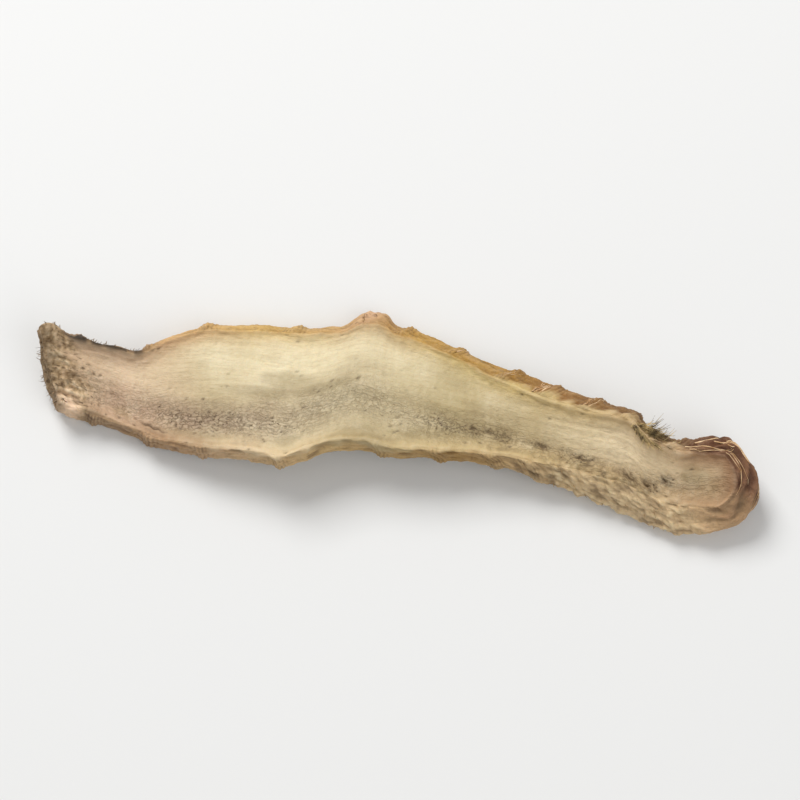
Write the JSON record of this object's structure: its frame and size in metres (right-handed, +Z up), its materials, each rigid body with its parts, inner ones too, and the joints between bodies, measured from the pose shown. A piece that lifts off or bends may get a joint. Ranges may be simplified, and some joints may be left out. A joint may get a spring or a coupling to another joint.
{
  "type": "dried solomons seal slice",
  "caption": "Dried lengthwise slice of a knobbly aromatic root: two sunk cut faces inside a rim of wrinkled, ringed skin, a torn stem scar at one end and a round bud at the other.",
  "frame": {"origin": "on the table, under the middle of the slice's bounding box", "axes": "+X along the slice from its stem scar to its bud end, +Y across it to the edge that has the rootlet stub, +Z up out of the upper cut face"},
  "size_m": [0.0856, 0.0208, 0.0078],
  "materials": {
    "dried_root": "matte, slightly horny"
  },
  "bodies": {
    "root": {"solomons_seal_slice": "dried_root"}
  },
  "joints": []
}
